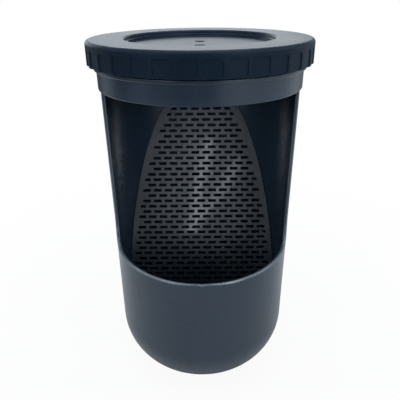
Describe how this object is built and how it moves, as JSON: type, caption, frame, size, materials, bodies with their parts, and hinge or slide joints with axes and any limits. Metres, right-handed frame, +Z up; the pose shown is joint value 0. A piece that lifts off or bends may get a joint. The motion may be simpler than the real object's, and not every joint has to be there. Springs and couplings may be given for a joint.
{
  "type": "insect feeder dish",
  "caption": "Round feeder cup with an open front, a slotted climbing ramp leaning inside it and a ribbed screw lid with holes for a hanging cord.",
  "frame": {"origin": "centre of the cup's flat foot, on the surface the cup stands on", "axes": "+Z up along the cup's axis; the open side of the cup faces -Y; +X to the right seen from the front"},
  "size_m": [0.102, 0.102, 0.1773],
  "materials": {
    "cup_plastic": "smooth moulded plastic, dark blue-grey, satin to gloss",
    "lid_plastic": "smooth moulded plastic, near-black navy",
    "ramp_plastic": "moulded plastic with a soft satin surface"
  },
  "bodies": {
    "cup": {"feeder_cup": "cup_plastic", "climbing_ramp": "ramp_plastic"},
    "lid": {"screw_lid": "lid_plastic"}
  },
  "joints": [
    {"name": "lid_lift", "type": "slide", "parent": "cup", "child": "lid", "axis": [0, 0, 1], "range_m": [0, 0.03]}
  ]
}
